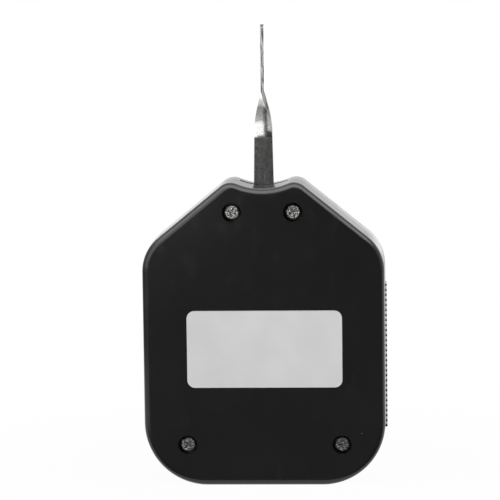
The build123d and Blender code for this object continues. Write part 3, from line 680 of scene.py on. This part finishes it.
# %% [markdown]
# ## White room
# The gauge stands in front of a plain white wall. The world is plain white for the camera, for
# reflections and through glass, and a softer grey for the light that it gives off, so the object
# isn't washed out. A real wall would need light of its own, and that light would spill on the gauge.

# %% World
def white_for_the_camera(owner):
    """1 for camera, glossy and transmitted rays and 0 for the rest, in a material or a world."""
    path = add_node(owner, "ShaderNodeLightPath")
    first = add_node(
        owner, "ShaderNodeMath", {"operation": "MAXIMUM"},
        {0: path.outputs["Is Camera Ray"], 1: path.outputs["Is Glossy Ray"]})
    return add_node(
        owner, "ShaderNodeMath", {"operation": "MAXIMUM"},
        {0: first.outputs[0], 1: path.outputs["Is Transmission Ray"]}).outputs[0]


room_light = 0.3
world = bpy.data.worlds.new("white_room")
bpy.context.scene.world = world
world.use_nodes = True
world.node_tree.nodes.clear()
room_strength = add_node(
    world, "ShaderNodeMapRange", {"To Min": room_light, "To Max": 1.0},
    {"Value": white_for_the_camera(world)})
room = add_node(
    world, "ShaderNodeBackground", {"Color": linear("ffffff")},
    {"Strength": room_strength.outputs["Result"]})
add_node(world, "ShaderNodeOutputWorld", links={"Surface": room.outputs["Background"]})
print("room light", room_light)

# %% [markdown]
# ## Table
# The gauge stands on a pale matt table, which takes its shadow. Near the gauge a small part of what
# is seen is the lit paint, and the rest is plain white. Further away it turns wholly white, so no
# horizon shows against the white room.

# %% Table
table_size = 4.0
table_near, table_far = 40 * mm, 160 * mm
table_whiteness = 0.97
table_shape = bmesh.new()
bmesh.ops.create_grid(table_shape, x_segments=1, y_segments=1, size=table_size / 2)
table_mesh = bpy.data.meshes.new("table")
table_shape.to_mesh(table_mesh)
table_shape.free()
table = bpy.data.objects.new("table", table_mesh)
bpy.context.scene.collection.objects.link(table)

table_material, table_place = empty_material("table_matt_white")
distance = add_node(table_material, "ShaderNodeVectorMath", {"operation": "LENGTH"}, {0: table_place})
fade = add_node(
    table_material, "ShaderNodeMapRange",
    {"interpolation_type": "SMOOTHSTEP", "From Min": table_near, "From Max": table_far,
     "To Min": table_whiteness, "To Max": 1.0},
    {"Value": distance.outputs["Value"]})
share = add_node(
    table_material, "ShaderNodeMath", {"operation": "MULTIPLY"},
    {0: white_for_the_camera(table_material), 1: fade.outputs["Result"]})
paint = add_node(table_material, "ShaderNodeBsdfDiffuse", {"Color": linear("adadad")})
glow = add_node(table_material, "ShaderNodeEmission", {"Color": linear("ffffff"), "Strength": 1.0})
table_mix = add_node(
    table_material, "ShaderNodeMixShader",
    links={0: share.outputs[0], 1: paint.outputs[0], 2: glow.outputs[0]})
add_node(table_material, "ShaderNodeOutputMaterial", links={"Surface": table_mix.outputs[0]})
table.data.materials.append(table_material)
print("table", table_size, "m wide, wholly white from", round(table_far / mm), "mm")

# %% [markdown]
# ## Cards for the reflections
# Black plastic and bright steel look like what they mirror, so a photographer sets cards around them.
# Here only reflections see the cards, so they can stand in front of the lamps and of the camera. Each
# card is a line of a few points, spun part of a turn about the upright axis. Bearings are degrees
# from +Y, which is the camera's side, towards +X, which is the left of the picture.

# %% A spun card
lift = 0.4 * mm


def spun_card(name, line, start_bearing, end_bearing, steps, near_edge=None):
    """A card for reflections: a line of (radius, height) points, spun from one bearing to another.
    With near_edge, whatever lies nearer to the gauge than that y is cut away."""
    first, last = math.radians(start_bearing), math.radians(end_bearing)
    shape = bmesh.new()
    verts = [
        shape.verts.new((radius * math.sin(first), radius * math.cos(first), height))
        for radius, height in line]
    edges = [shape.edges.new(pair) for pair in zip(verts, verts[1:])]
    bmesh.ops.spin(
        shape, geom=verts + edges, cent=(0, 0, 0), axis=(0, 0, 1), angle=first - last, steps=steps)
    if near_edge is not None:
        bmesh.ops.bisect_plane(
            shape, geom=shape.verts[:] + shape.edges[:] + shape.faces[:], plane_co=(0, near_edge, 0),
            plane_no=(0, 1, 0), clear_inner=True)
    mesh = bpy.data.meshes.new(name)
    shape.to_mesh(mesh)
    shape.free()
    card = bpy.data.objects.new(name, mesh)
    bpy.context.scene.collection.objects.link(card)
    for ray in ("camera", "diffuse", "shadow", "transmission", "volume_scatter"):
        setattr(card, "visible_" + ray, False)
    print(name, "faces", len(mesh.polygons))
    return card


print("the lowest cards lie", round(lift / mm, 1), "mm above the table")

# %% [markdown]
# ## Black cloths on the table
# A black cloth in front of the gauge, a piece that fills its corner on the left, and a black strip at
# the foot of the wall keep the white table out of the lower walls' reflections. The cloth's near
# edge is cut straight, so that a narrow strip of pale table is left before the base, and its mirror
# image lights the bottom edge. Felt suits this, because its loose fibres leave it hardly any gloss.

# %% Cloths
wall_start, cloth_end, corner_end, wall_end = -75, 30, 66, 125
wall_radius = 300 * mm
cloth_edge = 13 * mm
cloth_corner = 90 * mm
strip_edge = 220 * mm
cloth = spun_card(
    "black_cloth", [(cloth_edge, lift), (wall_radius, lift)], wall_start, cloth_end, steps=24,
    near_edge=cloth_edge)
corner = spun_card(
    "black_cloth_corner", [(cloth_edge, lift), (cloth_corner, lift)], cloth_end, corner_end, steps=9,
    near_edge=cloth_edge)
strip = spun_card(
    "black_strip", [(strip_edge, lift), (wall_radius, lift)], cloth_end, wall_end, steps=24)

black_felt, felt_shader = new_material("felt_black")[:2]
felt_shader.inputs["Base Color"].default_value = linear("0c0c0c")
felt_shader.inputs["Roughness"].default_value = 0.9
for card in (cloth, corner, strip):
    card.data.materials.append(black_felt)

# %% [markdown]
# ## Bands of light on a curved wall
# A low wall bends round the gauge on the camera's side. It is black in the middle, which keeps the
# flat back dark and gives the steel lever its dark face, white on the left, where the twist of the
# lever turns to it, and grey at both ends. Its foot is darker, with levels of its own, because the
# lower edges mirror that part. Several cards could give these bands, but on one card a colour ramp
# over the bearing keeps them soft and easy to shift.

# %% Bands
wall_height = 220 * mm
foot_bands = [(-75, 0.05), (-6, 0.05), (3, 0.015), (11, 0.0), (30, 0.1), (125, 0.1)]
wall_bands = [
    (-75, 0.2), (-50, 0.2), (-42, 0.0), (8, 0.0), (11, 1.0), (60, 1.0), (66, 0.42), (125, 0.19)]


def ramp_stops(bands):
    """Stops of a ramp over the whole wall, from pairs of a bearing and a level of grey."""
    return [
        ((bearing_there - wall_start) / (wall_end - wall_start), (level, level, level, 1))
        for bearing_there, level in bands]


wall = spun_card(
    "curved_wall", [(wall_radius, lift), (wall_radius, wall_height)], wall_start, wall_end, steps=50)

# %% [markdown]
# ## The wall's own light
# The card glows by itself, because a lamp on it would light the gauge too. The bearing of a point on
# it, worked out from x and y, finds the place on the two ramps, and its height picks the ramp.

# %% Wall material
wall_brightness = 2.0
dark_foot = 44 * mm
foot_softness = 10 * mm
wall_material, wall_place = empty_material("card_black_white_and_grey")
wall_parts = add_node(wall_material, "ShaderNodeSeparateXYZ", links={"Vector": wall_place})
bearing = add_node(
    wall_material, "ShaderNodeMath", {"operation": "ARCTAN2"},
    {0: wall_parts.outputs["X"], 1: wall_parts.outputs["Y"]})
along = add_node(
    wall_material, "ShaderNodeMapRange",
    {"From Min": math.radians(wall_start), "From Max": math.radians(wall_end)},
    {"Value": bearing.outputs[0]})
foot_level = add_node(
    wall_material, "ShaderNodeValToRGB", {"color_ramp": ramp_stops(foot_bands)},
    {"Fac": along.outputs["Result"]})
wall_level = add_node(
    wall_material, "ShaderNodeValToRGB", {"color_ramp": ramp_stops(wall_bands)},
    {"Fac": along.outputs["Result"]})
above_foot = add_node(
    wall_material, "ShaderNodeMapRange",
    {"From Min": dark_foot - foot_softness, "From Max": dark_foot + foot_softness},
    {"Value": wall_parts.outputs["Z"]})
level_there = add_node(
    wall_material, "ShaderNodeMix", {"data_type": "RGBA"},
    {mix_factor: above_foot.outputs["Result"], mix_colour_a: foot_level.outputs["Color"],
     mix_colour_b: wall_level.outputs["Color"]})
wall_glow = add_node(
    wall_material, "ShaderNodeEmission", {"Strength": wall_brightness},
    {"Color": level_there.outputs[mixed_colour]})
add_node(wall_material, "ShaderNodeOutputMaterial", links={"Surface": wall_glow.outputs["Emission"]})
wall.data.materials.append(wall_material)
print("the foot ends", round(dark_foot / mm), "mm above the table")

# %% [markdown]
# ## Band of light behind the gauge
# The sloping walls above the shoulders are seen almost edge on, so they mirror what lies far behind
# the gauge, and in the photograph they are white. The white room alone leaves them grey, because even
# at that angle plastic doesn't mirror all of the light. A low band behind is therefore brighter than
# the room, and it fades to the room's own level at its top, so that no edge of it shows.

# %% Band of light
band_radius = 900 * mm
band_height = 160 * mm
band_even = 60 * mm
band_brightness = 1.7
band_start, band_end = 150, 210
band = spun_card(
    "band_behind", [(band_radius, lift), (band_radius, band_height)], band_start, band_end, steps=12)
band_material, band_place = empty_material("backdrop_bright_white")
band_rise = add_node(band_material, "ShaderNodeSeparateXYZ", links={"Vector": band_place}).outputs["Z"]
band_strength = add_node(
    band_material, "ShaderNodeMapRange",
    {"From Min": band_even, "From Max": band_height, "To Min": band_brightness, "To Max": 1.0},
    {"Value": band_rise})
band_glow = add_node(
    band_material, "ShaderNodeEmission", links={"Strength": band_strength.outputs["Result"]})
add_node(band_material, "ShaderNodeOutputMaterial", links={"Surface": band_glow.outputs["Emission"]})
band.data.materials.append(band_material)

# %% [markdown]
# ## Lamps
# A very wide soft box hangs above and in front of the back cover. Its mirror image is the bright line
# along the rounded upper edges. A weaker lamp on the other side keeps the dial readable. The white
# room already gives that side its reflections, so that lamp is kept out of them: its mirror image
# would be a hard patch on the twist of the lever.

# %% Lamps
def soft_lamp(name, place, width, height, brightness):
    """A lamp aimed at the gauge. brightness is the light that it alone puts on a white surface there."""
    lamp_data = bpy.data.lights.new(name, "AREA")
    lamp_data.shape = "RECTANGLE"
    lamp_data.size = width
    lamp_data.size_y = height
    aim = camera_target - place
    lamp_data.energy = brightness * 4 * math.pi * aim.length_squared
    lamp = bpy.data.objects.new(name, lamp_data)
    lamp.location = place
    lamp.rotation_euler = aim.to_track_quat("-Z", "Y").to_euler()
    bpy.context.scene.collection.objects.link(lamp)
    print(name, "watts", round(lamp_data.energy, 2), "from", round(aim.length, 2), "m away")
    return lamp


soft_box_place = Vector((0, 436, 730)) * mm
dial_lamp_place = Vector((-250, -700, 500)) * mm
soft_lamp("soft_box_above", soft_box_place, width=1.8, height=0.9, brightness=1.89)
dial_lamp = soft_lamp("lamp_on_dial_side", dial_lamp_place, width=1.3, height=0.8, brightness=0.42)
dial_lamp.visible_glossy = False

# %% [markdown]
# ## View transform
# The render keeps its colours as they are, with the Standard view transform.

# %% View transform
bpy.context.scene.view_settings.view_transform = "Standard"
